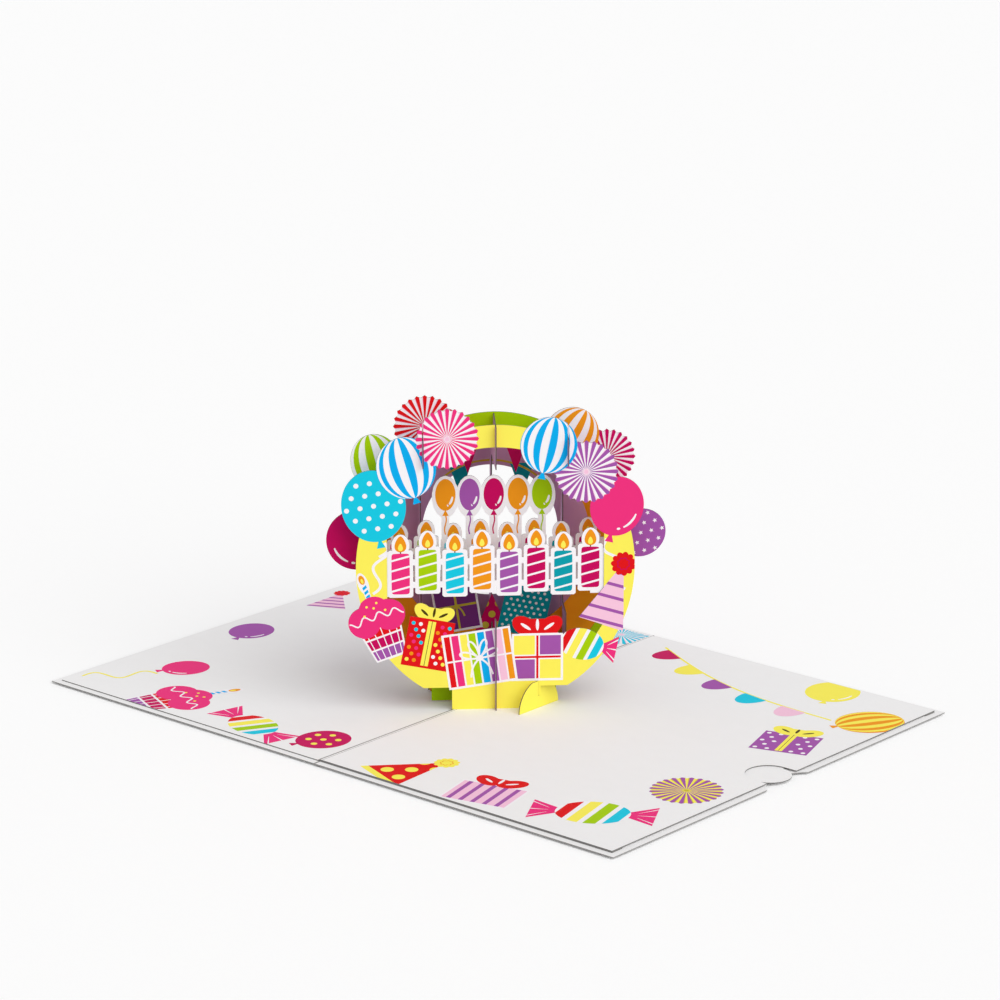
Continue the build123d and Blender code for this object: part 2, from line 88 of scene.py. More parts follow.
class PrintInks(PropertyGroup):
    """Ink colours of the print."""

    yellow: FloatVectorProperty(
        name="Yellow", description="Front ring, anchor tabs, presents and bows",
        subtype="COLOR", min=0, max=1, default=srgb(254, 242, 92),
    )
    lime: FloatVectorProperty(
        name="Lime", description="Second ring, a candle and balloons",
        subtype="COLOR", min=0, max=1, default=srgb(168, 208, 0),
    )
    orange: FloatVectorProperty(
        name="Orange", description="Third ring, flames, a candle and balloons",
        subtype="COLOR", min=0, max=1, default=srgb(243, 152, 22),
    )
    lilac: FloatVectorProperty(
        name="Lilac", description="Back slice and cross slices",
        subtype="COLOR", min=0, max=1, default=srgb(205, 164, 203),
    )
    white: FloatVectorProperty(
        name="White", description="Unprinted borders, stripes and dots",
        subtype="COLOR", min=0, max=1, default=srgb(250, 247, 250),
    )
    cyan: FloatVectorProperty(
        name="Cyan", description="Dotted balloon, a candle and a fan",
        subtype="COLOR", min=0, max=1, default=srgb(18, 202, 228),
    )
    sky: FloatVectorProperty(
        name="Sky blue", description="Striped balloons",
        subtype="COLOR", min=0, max=1, default=srgb(0, 174, 239),
    )
    teal: FloatVectorProperty(
        name="Teal", description="Pennants, a present and a candle",
        subtype="COLOR", min=0, max=1, default=srgb(0, 158, 172),
    )
    hot_pink: FloatVectorProperty(
        name="Hot pink", description="Balloons, a fan, icing and a candle",
        subtype="COLOR", min=0, max=1, default=srgb(240, 48, 126),
    )
    magenta: FloatVectorProperty(
        name="Magenta", description="Balloons, a fan, a hat and candles",
        subtype="COLOR", min=0, max=1, default=srgb(200, 0, 92),
    )
    pale_pink: FloatVectorProperty(
        name="Pale pink", description="Hats and shaded pleats",
        subtype="COLOR", min=0, max=1, default=srgb(249, 200, 224),
    )
    purple: FloatVectorProperty(
        name="Purple", description="Fans, presents, balloons and a candle",
        subtype="COLOR", min=0, max=1, default=srgb(164, 86, 170),
    )
    plum: FloatVectorProperty(
        name="Plum", description="Present in the third slice",
        subtype="COLOR", min=0, max=1, default=srgb(122, 52, 132),
    )
    red: FloatVectorProperty(
        name="Red", description="Fan, presents, pompoms and bows",
        subtype="COLOR", min=0, max=1, default=srgb(226, 16, 22),
    )
    gold: FloatVectorProperty(
        name="Gold", description="Strings of the pennants, and ribbon and dots in the third slice",
        subtype="COLOR", min=0, max=1, default=srgb(206, 186, 60),
    )
    bronze: FloatVectorProperty(
        name="Bronze", description="Wicks, and fine lines on the yellow bows and ribbons",
        subtype="COLOR", min=0, max=1, default=srgb(72, 58, 12),
    )


class CardFinish(PropertyGroup):
    """Finish of the card stock, with the painted shade on its edges and fold, sizes of the printed details
    and levels of light.
    """

    print_lift: FloatProperty(
        name="Ink lift", description="Gap between the sheet and its ink",
        unit="LENGTH", min=0.000005, max=0.0001, precision=6, default=0.00002,
    )
    fibre: FloatProperty(
        name="Fibre depth", description="Depth of the paper's fibres",
        unit="LENGTH", min=0, max=0.0001, precision=6, default=0.000012,
    )
    mottle: FloatProperty(
        name="Mottle", description="How much the sheet's shade varies",
        min=0, max=0.2, default=0.01,
    )
    border: FloatProperty(
        name="White border", description="Width of the unprinted border of a present",
        unit="LENGTH", min=0, max=0.002, precision=5, default=0.0007,
    )
    pleats: IntProperty(
        name="Pleats", description="Pleats of each fan",
        min=6, max=60, default=24,
    )
    stock_white: FloatVectorProperty(
        name="Stock", description="Unprinted card",
        subtype="COLOR", min=0, max=1, default=srgb(246, 245, 245),
    )
    # Cut edges of the slices and tabs: laser scorch, darkened further as painted shade
    cut_edge_scorch_and_shade: FloatVectorProperty(
        name="Cut edge", description="Laser-cut edge of the slices",
        subtype="COLOR", min=0, max=1, default=srgb(92, 86, 82),
    )
    # Painted shadow: dark rim on the cut edges of the liners and note card, where their shadow falls on the
    # sheet below
    liner_edge_shade: FloatVectorProperty(
        name="Liner edge", description="Cut edge of the liners and the note card",
        subtype="COLOR", min=0, max=1, default=srgb(128, 126, 124),
    )
    # Painted shade: grey rim on the cover's cut edge, for the shadow under its edge
    cover_edge_shade: FloatVectorProperty(
        name="Cover edge", description="Cut edge of the cover",
        subtype="COLOR", min=0, max=1, default=srgb(160, 158, 156),
    )
    # Painted shade: grey line along the fold, for the shadow in the gap between the liners
    fold_shade_line: FloatVectorProperty(
        name="Fold line", description="Faint line along the fold",
        subtype="COLOR", min=0, max=1, default=srgb(168, 166, 164),
    )
    floor_colour: FloatVectorProperty(
        name="Floor", description="Floor under the card",
        subtype="COLOR", min=0, max=1, default=(0.9, 0.9, 0.9),
    )
    floor_glow: FloatProperty(
        name="Floor brightness", description="How much brighter the camera sees the floor",
        min=1, max=2, default=1.2,
    )
    key_strength: FloatProperty(
        name="Key light", description="Strength of the sun lamp",
        min=0, max=10, default=1.6,
    )
    fill_strength: FloatProperty(
        name="Fill light", description="Strength of the even light all round",
        min=0, max=2, default=0.55,
    )


def inks():
    """The scene's ink colours."""
    return bpy.context.scene.card_inks


def finish():
    """The scene's card finish."""
    return bpy.context.scene.card_finish


# Outlines


def turns(steps, start=0.0, end=2 * np.pi):
    """Evenly spaced angles, the last one left out."""
    return np.linspace(start, end, steps, endpoint=False)


def moved(outline, across, up, lean=0.0, size=1.0):
    """Outline turned by lean degrees, scaled and moved."""
    a = np.radians(lean)
    turn = np.array(((np.cos(a), np.sin(a)), (-np.sin(a), np.cos(a))))
    return outline @ turn * size + (across, up)


def polygon(*corners):
    """Straight-sided shape by its corners."""
    return np.array(corners, float)


def box(left, low, right, high):
    """Rectangle by its two corners."""
    return polygon((left, low), (right, low), (right, high), (left, high))


def block(width, height):
    """Rectangle about the origin."""
    return box(-width / 2, -height / 2, width / 2, height / 2)


def trapezium(foot, low, head, high):
    """Upright trapezium, foot wide to each side at low and head wide to each side at high."""
    return polygon((-foot, low), (foot, low), (head, high), (-head, high))


def slanting(half, low, rise, thick, across=0.0):
    """Slanting stripe with upright ends: its lower edge climbs from low - rise to low + rise over 2 half."""
    start, end = (across - half, low - rise), (across + half, low + rise)
    return polygon(start, end, (end[0], end[1] + thick), (start[0], start[1] + thick))


def polar(reach, t, across=0.0, up=0.0):
    """Points at some distances and angles: (across + reach cos t, up + reach sin t)."""
    return np.stack((across + reach * np.cos(t), up + reach * np.sin(t)), 1)


def wedge(near, far, first, last):
    """Straight-sided part of a ring, between two radii and two angles."""
    return polar(np.array((near, far, far, near)), np.array((first, first, last, last)))


def oval(wide, high, across=0.0, up=0.0, steps=56):
    """Ellipse: (across + wide cos t, up + high sin t)."""
    t = turns(steps)
    return np.stack((across + wide * np.cos(t), up + high * np.sin(t)), 1)


def rounded(width, height, corner, across, up):
    """Rectangle with round corners: a circle of the corner's radius, whose quarters are pushed apart."""
    t = turns(40)
    way = np.stack((np.cos(t), np.sin(t)), 1)
    reach = np.array((width, height)) / 2 - corner
    return (across, up) + np.clip(3 * way, -1, 1) * reach + corner * way


def drop(wide, high, across, foot):
    """Flame: (across + wide cos t (1 - 0.35 sin t), foot + high (1 + sin t))."""
    t = turns(32)
    return np.stack((across + wide * np.cos(t) * (1 - 0.35 * np.sin(t)), foot + high * (1 + np.sin(t))), 1)


def burst(points, size, waist, across=0.0, up=0.0):
    """Star: radius size at the tips and size times waist between them."""
    t = turns(2 * points) + np.pi / 2
    return polar(np.where(np.arange(2 * points) % 2, size * waist, size), t, across, up)


def ruffle(lobes, size, depth, across=0.0, up=0.0):
    """Pompom: radius size + depth |cos(lobes t / 2)|."""
    t = turns(lobes * 8)
    return polar(size + depth * np.abs(np.cos(lobes * t / 2)), t, across, up)


def band(path, width):
    """Line with a width: the path moved by half of it along its normal, there and back."""
    path = np.asarray(path, float)
    way = np.gradient(path, axis=0)
    way /= np.linalg.norm(way, axis=1, keepdims=True)
    side = np.stack((-way[:, 1], way[:, 0]), 1) * np.reshape(width, (-1, 1)) / 2
    return np.concatenate((path + side, (path - side)[::-1]))


def curl(start, end, bulge, waves, steps=40):
    """Path from start to end that swings bulge sin(waves pi s) to its side."""
    start, end = np.array(start, float), np.array(end, float)
    s = np.linspace(0, 1, steps)[:, None]
    way = end - start
    side = np.array((-way[1], way[0])) / np.linalg.norm(way)
    return start + way * s + side * bulge * np.sin(waves * np.pi * s)


def meridian(wide, high, first, last):
    """Stripe of a ball between two meridians: x = wide sin(m) cos t, y = high sin t, m from first to last."""
    t = np.linspace(-1.5, 1.5, 22)
    one = np.stack((wide * np.sin(first) * np.cos(t), high * np.sin(t)), 1)
    two = np.stack((wide * np.sin(last) * np.cos(t), high * np.sin(t)), 1)
    return np.concatenate((two, one[::-1]))


def scatter(wide, high, pitch):
    """Centres of a staggered pattern over a rectangle of half sizes wide and high.

    Its rows are 0.87 pitch apart, and every other one is moved by half the pitch.
    """
    rows = np.arange(-np.ceil(high / pitch), np.ceil(high / pitch) + 1)
    columns = np.arange(-np.ceil(wide / pitch), np.ceil(wide / pitch) + 1)
    row, column = np.meshgrid(rows, columns, indexing="ij")
    centres = np.stack(((column + 0.5 * (row % 2)) * pitch, row * pitch * 0.87), -1).reshape(-1, 2)
    return centres[(np.abs(centres[:, 0]) < wide) & (np.abs(centres[:, 1]) < high)]


def scatter_round(width, length, pitch, size):
    """The centres of scatter that keep a mark of the given size whole: (x / a) ** 2 + (y / b) ** 2 < 1."""
    half = np.array((width, length)) / 2 - size - 0.3
    centres = scatter(*half, pitch)
    return centres[((centres / half) ** 2).sum(1) < 1]


# Motifs

# Each is a list of (outline, ink, number of the outline in the motif that it stays within, or None).
# On a cut edge they reach 0.1 to 0.4 past it, so that no bare card shows there.


def balloon(width, length, ink):
    """Plain balloon: an ellipse over a flared knot."""
    low = -length / 2
    knot = polygon((0, low + 1.4), (-1.5, low - 2.3), (1.5, low - 2.3))
    return [(oval(width / 2, length / 2), ink, None), (knot, ink, None)]


def gleam(width, length, side=1):
    """Bright arc and the dash under it, within a balloon's outline: both run along 0.78 of its ellipse."""
    shapes = []
    for first, last in ((-58, -10), (-76, -67)):
        t = np.radians(np.linspace(first, last, 16))
        path = np.stack((side * 0.39 * width * np.cos(t), 0.39 * length * np.sin(t)), 1)
        thick = 0.35 + 0.45 * np.sin(np.linspace(0.25, np.pi - 0.25, 16))
        shapes.append((band(path, thick), "white", 0))
    return shapes


def striped_balloon(width, length, ink, second="white", stripes=5):
    """Balloon with stripes along its meridians, each as wide as the gap beside it, out to 78 degrees."""
    edges = np.radians(np.linspace(-78, 78, 2 * stripes + 1))
    shapes = balloon(width, length, ink)
    for one, two in zip(edges[0:-1:2], edges[1::2]):
        shapes.append((meridian(width / 2, length / 2, one, two), second, 0))
    return shapes


def dotted_balloon(width, length, ink, second="white", pitch=4.6, size=0.85):
    """Balloon with a staggered pattern of dots."""
    shapes = balloon(width, length, ink)
    for across, up in scatter_round(width, length, pitch, size):
        shapes.append((oval(size, size, across, up, 18), second, 0))
    return shapes


def starry_balloon(width, length, ink):
    """Balloon with a staggered pattern of small white stars."""
    shapes = balloon(width, length, ink)
    for across, up in scatter_round(width, length, 3.7, 0.6):
        shapes.append((burst(5, 0.85, 0.45, across, up), "white", 0))
    return shapes


def fan(size, ink, ground="white", shade="pale_pink"):
    """Pleated fan: a wedge of ink and a thin shaded wedge on each pleat, and a light star in the middle.

    The outer edge steps between size, plus 0.15 past the cut, and 0.9 less in each valley.
    """
    pleats = finish().pleats
    t = turns(4 * pleats)
    valley = 1 - np.abs(2 * ((t * pleats / (2 * np.pi)) % 1) - 1)
    shapes = [(polar(size + 0.15 - 0.9 * valley, t), ground, None)]
    step = 2 * np.pi / pleats
    for middle in turns(pleats):
        for first, last, colour, start in ((-0.29, 0.23, ink, 0.06), (0.23, 0.34, shade, 0.3)):
            pleat = wedge(size * start, size + 0.4, middle + first * step, middle + last * step)
            shapes.append((pleat, colour, 0))
    shapes.append((burst(pleats, 0.17 * size, 0.35), shade, 0))
    return shapes


def bow(size, lid, ink, line="bronze"):
    """Ribbon bow on a lid: two tilted ellipses, a knot and a fine line in each."""
    middle, lean = lid + 0.6 * size, 35
    shapes = [(box(-0.62 * size, lid, 0.62 * size, lid + 1.24 * size), ink, None)]
    for side in (-1, 1):
        loop = moved(oval(1.2 * size, 0.8 * size, steps=40), side * size, middle, lean * side)
        slit = moved(oval(0.5 * size, 0.13 * size, steps=20), side * 0.95 * size, middle, lean * side)
        shapes += [(loop, ink, None), (slit, line, None)]
    shapes.append((oval(0.13 * size, 0.5 * size, 0, lid + 0.75 * size, 20), line, None))
    return shapes


def present(width, height, ground, border="white"):
    """Box with its unprinted border, and the field inside it as its second outline."""
    edge = finish().border * 1000
    field = block(width - 2 * edge, height - 2 * edge)
    return [(block(width + 0.2, height + 0.2), border, None), (field, ground, 0)]


def ribbon_cross(width, height, ink, thick):
    """Ribbon up and across a present."""
    return [(block(thick, height), ink, 1), (block(width, thick), ink, 1)]


def drawn_bow(size, ink, thick):
    """Bow drawn in line on a present: four petals r = size cos(3.65 t), open at the knot, and two tails."""
    t = np.linspace(-0.38, 0.38, 22)
    r = size * np.cos(3.65 * t)
    shapes = []
    for middle in np.radians((20, 66, 114, 160)):
        shapes.append((band(polar(r, middle + t), thick), ink, 1))
    for side in (-1, 1):
        tail = curl((0, 0), (side * 0.55 * size, -0.95 * size), 0.12 * size * side, 1, 12)
        shapes.append((band(tail, thick), ink, 1))
    shapes.append((oval(0.2 * size, 0.16 * size, steps=18), ink, 1))
    return shapes


def dotted_present(width, height, ground, dots, pitch=2.5, size=0.68, ribbon=None):
    """Box with rows of dots, whose ink changes from one to the next, and a ribbon that they leave free."""
    margin, ribbon_width, line = 0.9, 2.6, 0.2
    shapes = present(width, height, ground, ground)
    for number, (across, up) in enumerate(scatter(width / 2 - margin, height / 2 - margin, pitch)):
        if not ribbon or abs(across) > ribbon_width / 2 + line + size:
            shapes.append((oval(size, size, across, up, 16), dots[number % len(dots)], 1))
    if ribbon:
        shapes += [(block(ribbon_width, height), ribbon, 1), (block(line, height), "bronze", 1)]
    return shapes


def striped_present(width, height, colours):
    """Box with broad upright stripes and a white gap between each two, a ribbon and a drawn bow."""
    shapes = present(width, height, "white")
    pitch, gap = width / len(colours), 0.56
    for number, colour in enumerate(colours):
        left = -width / 2 + number * pitch + gap / 2
        shapes.append((box(left, -height / 2, left + pitch - gap, height / 2), colour, 1))
    return shapes + ribbon_cross(width, height, "white", 0.6) + drawn_bow(0.29 * width, "white", 0.65)


def quartered_present(width, height, one, two, ribbon):
    """Box in four fields of two inks, parted by a white line with a ribbon in it."""
    shapes = present(width, height, one)
    shapes += [(box(0, 0, width / 2, height / 2), two, 1), (box(-width / 2, -height / 2, 0, 0), two, 1)]
    return shapes + ribbon_cross(width, height, "white", 1.7) + ribbon_cross(width, height, ribbon, 0.75)


def hat(width, length, ground, second, dotted=False):
    """Party hat: a triangle, crossed by slightly sloping stripes, or set with dots over a brim."""
    shapes = [(polygon((-width / 2 - 0.2, -0.1), (width / 2 + 0.2, -0.1), (0, length + 0.2)), ground, None)]
    if not dotted:
        for up in length * (np.arange(5) + 0.12) / 5:
            shapes.append((slanting(width, up, 0.8, 1.1), second, 0))
        return shapes
    for across, up in scatter(width / 2, length / 2, 0.36 * width):
        shapes.append((oval(0.1 * width, 0.1 * width, across, up + length / 2, 18), second, 0))
    return shapes + [(box(-width, -0.1, width, 0.09 * length), second, 0)]


def pompom(size, up, ink, line):
    """Ruffled pompom with a fine ruffled ring inside."""
    return [
        (ruffle(11, 0.84 * size, 0.16 * size, 0, up), ink, None),
        (ruffle(8, 0.42 * size, 0.12 * size, 0, up), line, None),
        (ruffle(8, 0.36 * size, 0.1 * size, 0, up), ink, None),
    ]


def cupcake():
    """Cupcake: pleated case in three bands, three rounds of icing with a swirl, and a candle behind them.

    The swirl is (1.25 width (s - 0.5), rise + 1.1 cos(7 pi s) + 0.4 rise sin(pi s)).
    """
    slope = (CASE_WIDTH - CASE_BASE) / 2 / CASE_HEIGHT
    case = trapezium(CASE_BASE / 2 + 0.2, -CASE_HEIGHT - 0.2, CASE_WIDTH / 2 + 0.2, 0.4)
    shapes = [(case, "white", None)]
    for low, high, ink in ((-0.95, -0.68, "purple"), (-0.63, -0.36, "magenta"), (-0.31, 0.0, "red")):
        foot, head = (CASE_WIDTH / 2 + slope * share * CASE_HEIGHT - 0.6 for share in (low, high))
        shapes.append((trapezium(foot, low * CASE_HEIGHT, head, high * CASE_HEIGHT), ink, 0))
    for share in np.linspace(-0.36, 0.36, 5) * 1.02:
        pleat = polygon((share * CASE_BASE, -0.95 * CASE_HEIGHT), (share * CASE_WIDTH, 0))
        shapes.append((band(pleat, 0.32), "white", 0))
    top = 2 * ICING_RISE + 2 * ICING_RADIUS
    body = len(shapes) + 2
    shapes += [
        (oval(1.8, 4.0, 0, top, 30), "white", None),
        (box(-1, ICING_RISE, 1, top), "white", None),
        (box(-0.75, ICING_RISE, 0.75, top - 0.6), "sky", None),
    ]
    for up in np.arange(ICING_RISE + ICING_RADIUS, top, 1.7):
        shapes.append((slanting(1, up, 0.4, 0.7), "white", body))
    shapes.append((oval(1.0, 1.7, 0, top + 1.4, 24), "orange", None))
    shapes.append((oval(0.45, 0.9, 0, top + 1.0, 18), "yellow", None))
    for across, up in ((-ICING_OFFSET, ICING_RISE), (ICING_OFFSET, ICING_RISE), (0, 2 * ICING_RISE)):
        shapes.append((oval(ICING_RADIUS + 0.2, ICING_RADIUS + 0.2, across, up, 44), "hot_pink", None))
    s = np.linspace(0, 1, 60)
    height = ICING_RISE + 1.1 * np.cos(s * 7 * np.pi) + 0.4 * ICING_RISE * np.sin(s * np.pi)
    shapes.append((band(np.stack(((s - 0.5) * 1.25 * CASE_WIDTH, height), 1), 0.5), "white", None))
    for across, up in ((-0.24, 1.9), (0.02, 2.6), (0.25, 1.8), (0.12, 3.2), (-0.12, 3.1)):
        shapes.append((oval(0.42, 0.42, across * CASE_WIDTH, up * ICING_RISE, 12), "yellow", None))
    return shapes


def sweet(width, height, wing, flare):
    """Wrapped sweet: four slanting stripes over an oval, and two flared ends with fine pleats."""
    shapes = []
    for side in (-1, 1):
        near, far = side * (width / 2 - wing / 2), side * (width / 2 + wing + 0.2)
        shapes.append((polygon((near, 0), (far, flare / 2 + 0.1), (far, -flare / 2 - 0.1)), "hot_pink", None))
        for slope in (-0.55, 0.0, 0.55):
            pleat = polygon((near + side * wing * 0.8, slope * flare * 0.22), (far, slope * flare * 0.72))
            shapes.append((band(pleat, (0.1, 0.5)), "white", None))
    body = len(shapes)
    shapes.append((oval(width / 2 + 0.15, height / 2 + 0.15), "white", None))
    pitch, slant, reach = width / 4, 0.16 * height, height / 2 + 1
    for number, ink in enumerate(("red", "yellow", "lime", "cyan")):
        left = (number - 2 + 0.16) * pitch
        right = left + 0.68 * pitch
        foot = (left - slant, -reach), (right - slant, -reach)
        head = (right + slant, reach), (left + slant, reach)
        shapes.append((polygon(*foot, *head), ink, body))
    return shapes


def candle(ink, across, low):
    """Candle of a row: a rounded body with slanting white bands, a wick and a two-coloured flame."""
    top = low + CANDLE_LENGTH
    shapes = [(rounded(CANDLE_WIDTH, CANDLE_LENGTH, 1.1, across, low + CANDLE_LENGTH / 2), ink, None)]
    for up in low + CANDLE_LENGTH * np.array((0.13, 0.38, 0.63, 0.88)):
        shapes.append((slanting(CANDLE_WIDTH / 2 + 1, up - 0.4, 1.1, 0.7, across), "white", 0))
    shapes.append((box(across - 0.2, top, across + 0.2, top + 1.4), "bronze", None))
    shapes.append((drop(FLAME_WIDTH / 2, FLAME_LENGTH / 2, across, top + 0.5), "orange", None))
    shapes.append((drop(0.8, 1.3, across, top + 0.9), "yellow", None))
    return shapes


# Artwork: a sheet's list of outlines with their inks, to which these functions add


def put(art, motif, across=0.0, up=0.0, lean=0.0, size=1.0):
    """Adds a motif to a sheet's artwork, turned, scaled and moved."""
    start = len(art)
    for outline, ink, within in motif:
        art.append((moved(outline, across, up, lean, size), ink, None if within is None else start + within))


def on_ring(angle, distance, centre=RING_CENTRE):
    """Place at an angle and distance from a ring's centre."""
    return distance * np.cos(np.radians(angle)), centre + distance * np.sin(np.radians(angle))


def row_places(row, pitch):
    """The members of a row, each with its place across: the row is centred."""
    return zip(row, (np.arange(len(row)) - (len(row) - 1) / 2) * pitch)


def candle_row_art(art, low):
    """Adds the row of candles that stands at low, with every other one a little higher."""
    for number, (ink, across) in enumerate(row_places(CANDLE_INKS, ROW_PITCH)):
        put(art, candle(ink, across, low + CANDLE_WOBBLE * (number % 2)))


def bud_row_art(art):
    """Adds the row of small balloons: a waving string, the balloon with its gleam, and its knot."""
    foot = BUD_CENTRE - BUD_LENGTH / 2
    for ink, across in row_places(BUD_INKS, BUD_PITCH):
        put(art, [(band(curl((across, foot), (across, foot - 7), 0.3, 2, 14), 0.45), ink, None)])
        body = [(oval(BUD_WIDTH / 2, (BUD_LENGTH - 1.4) / 2), ink, None)]
        put(art, body + gleam(BUD_WIDTH * 0.9, BUD_LENGTH - 2.4), across, BUD_CENTRE + 0.7)
        put(art, [(polygon((-1.1, -1.4), (1.1, -1.4), (0, 0.7)), ink, None)], across, foot + 1.0)


def pennants_art(art, hole, centre, angles, ink, string_ends, gap):
    """Adds pennants at some angles of a round hole, and their string along an arc, a gap outside the hole."""
    for angle in angles:
        put(art, [(polygon((-4.1, 3.1), (4.1, 3.1), (0, -8.7)), ink, None)], *on_ring(angle, hole, centre))
    string = np.stack(on_ring(np.linspace(*string_ends, 40), hole + gap, centre), 1)
    art.append((band(string, 0.7), "gold", None))


def bunting_art(art, start, end, sag, colours):
    """Adds a sagging string of half-round flags: (5.2 cos t, 8.6 sin t), with t from pi to 2 pi."""
    string = curl(start, end, sag, 1, 60)
    art.append((band(string, 0.9), "yellow", None))
    way = np.gradient(string, axis=0)
    lean = np.degrees(np.arctan2(way[:, 1], way[:, 0]))
    t = turns(14, np.pi, 2 * np.pi + 0.24)
    flag = np.stack((5.2 * np.cos(t), 8.6 * np.sin(t)), 1)
    for ink, place in zip(colours, range(5, 60, 11)):
        put(art, [(flag, ink, None)], *string[place], lean[place])


# One flat layer of print


def slice_sheet(place):
    """Plane of a slice's front face: origin, across, up and outward, in millimetres."""
    across, out = np.array((TURN, TURN, 0)), np.array((TURN, -TURN, 0))
    return -place * out + out * STOCK / 2, across, np.array((0, 0, 1.0)), out


def deck_sheet(height):
    """Plane of a lying sheet's top face."""
    return np.array((0, 0, height)), np.array((1.0, 0, 0)), np.array((0, 1.0, 0)), np.array((0, 0, 1.0))


def corners_in(node, sheet):
    """Corners on the sheet's plane of the node's triangles that lie in it and face outwards, one row each."""
    origin, across, up, out = sheet
    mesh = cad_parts[node].data
    mesh.calc_loop_triangles()
    points = np.empty(len(mesh.vertices) * 3)
    mesh.vertices.foreach_get("co", points)
    index = np.empty(len(mesh.loop_triangles) * 3, int)
    mesh.loop_triangles.foreach_get("vertices", index)
    corners = points.reshape(-1, 3)[index].reshape(-1, 3, 3) * 1000
    normals = np.cross(corners[:, 1] - corners[:, 0], corners[:, 2] - corners[:, 0])
    area = np.linalg.norm(normals, axis=1)
    faces_out = (normals @ out > 0.99 * area) & (area > 1e-9)
    in_plane = np.abs((corners - origin) @ out).max(1) < 0.02
    flat = corners[faces_out & in_plane] - origin
    return np.stack((flat @ across, flat @ up), -1)


def anticlockwise(outline):
    """The outline, turned round if its area, the sum of x dy - y dx, is below zero."""
    x, y = outline.T
    return outline if np.sum(x * np.roll(y, -1) - y * np.roll(x, -1)) > 0 else outline[::-1]


def merged(sheet_corners, art):
    """Points, triangles and inks of the print: the triangles on the sheet, each with the last shape's ink.

    They are Delaunay triangles of all the outlines together, and each knows the outlines that it lies in.
    """
    outlines = [anticlockwise(outline) for outline in (*sheet_corners, *(shape[0] for shape in art))]
    ends = np.cumsum([len(outline) for outline in outlines])[:-1]
    points, index = np.unique(np.round(np.concatenate(outlines), 3), axis=0, return_inverse=True)
    faces = [face.tolist() for face in np.split(index.ravel(), ends)]
    places, _, made, _, _, owners = delaunay_2d_cdt(points.tolist(), [], faces, 1, 1e-4, True)
    kept, colours = [], []
    for triangle, owned in zip(made, owners):
        # Numbers below zero are the sheet's own triangles, and the others count the artwork's shapes
        numbers = {number - len(sheet_corners) for number in owned}
        shown = [n for n in numbers if n >= 0 and (art[n][2] is None or art[n][2] in numbers)]
        if shown and min(numbers) < 0:
            kept.append(triangle)
            colours.append(art[max(shown)][1])
    used, order = np.unique(np.array(kept), return_inverse=True)
    return np.array(places)[used], order.reshape(-1, 3), colours


def print_sheet(node, sheet, art, both_sides=False):
    """Print of one sheet: its merged faces, lifted off it by the ink, and again behind it for both sides.

    Each side of a sheet that is printed on both sides has its own half of the UV map.
    """
    origin, across, up, out = sheet
    flat, faces, colours = merged(corners_in(node, sheet), art)
    lift = finish().print_lift * 1000
    points = origin + flat[:, :1] * across + flat[:, 1:] * up + out * lift
    rgb = np.array([(*getattr(inks(), colour), 1.0) for colour in colours])
    uv = (flat - flat.min(0)) / np.ptp(flat, axis=0).max()
    if both_sides:
        points = np.concatenate((points, points - out * (STOCK + 2 * lift)))
        faces = np.concatenate((faces, faces[:, ::-1] + len(flat)))
        rgb = np.concatenate((rgb, rgb))
        uv = np.concatenate((uv * 0.49, uv * 0.49 + (0.51, 0)))
    mesh = bpy.data.meshes.new(node + "_print")
    mesh.from_pydata((points / 1000).tolist(), [], faces.tolist())
    colour = mesh.color_attributes.new("ink", "FLOAT_COLOR", "CORNER")
    colour.data.foreach_set("color", np.repeat(rgb, 3, axis=0).ravel())
    layer = mesh.uv_layers.new(name="OFBake")
    layer.data.foreach_set("uv", uv[faces.ravel()].ravel())
    mesh.materials.append(ink_material())
    mesh.validate()
    piece = bpy.data.objects.new(node + "_print", mesh)
    bpy.context.scene.collection.objects.link(piece)
    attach(piece, "card")


# Materials


def new_node(tree, kind, operation=None, **values):
    """New shader node of a kind, with its operation and the values of the sockets that are named."""
    node = tree.nodes.new("ShaderNode" + kind)
    if operation:
        node.operation = operation
    for socket, value in values.items():
        node.inputs[socket.replace("_", " ")].default_value = value
    return node


def paper_nodes(name):
    """Card stock without its colour: fibres for bump and roughness, and a slow mottle that scales the tint.

    Both patterns are in about millimetres, and drawn out along X, which gives the paper its grain.
    """
    material = bpy.data.materials.new(name)
    material.use_nodes = True
    tree = material.node_tree
    shader = tree.nodes["Principled BSDF"]
    shader.inputs["Specular IOR Level"].default_value = 0.1
    place = new_node(tree, "TexCoord")
    stretch = new_node(tree, "Mapping", Scale=(1000, 1600, 1200))
    fibres = new_node(tree, "TexNoise", Scale=2.2, Detail=5, Distortion=0.6)
    cloud = new_node(tree, "TexNoise", Scale=0.14, Detail=3)
    bump = new_node(tree, "Bump", Distance=finish().fibre, Strength=0.35)
    rough = new_node(tree, "MapRange", To_Min=0.52, To_Max=0.72)
    shade = new_node(tree, "MapRange", From_Min=0.3, From_Max=0.7, To_Min=1 - finish().mottle, To_Max=1.0)
    tint = new_node(tree, "VectorMath", "SCALE")
    for output, socket in (
        (place.outputs["Object"], stretch.inputs["Vector"]),
        (stretch.outputs["Vector"], fibres.inputs["Vector"]),
        (stretch.outputs["Vector"], cloud.inputs["Vector"]),
        (fibres.outputs["Fac"], bump.inputs["Height"]),
        (bump.outputs["Normal"], shader.inputs["Normal"]),
        (fibres.outputs["Fac"], rough.inputs["Value"]),
        (rough.outputs["Result"], shader.inputs["Roughness"]),
        (cloud.outputs["Fac"], shade.inputs["Value"]),
        (shade.outputs["Result"], tint.inputs["Scale"]),
        (tint.outputs["Vector"], shader.inputs["Base Color"]),
    ):
        tree.links.new(output, socket)
    return material, tree, place, tint


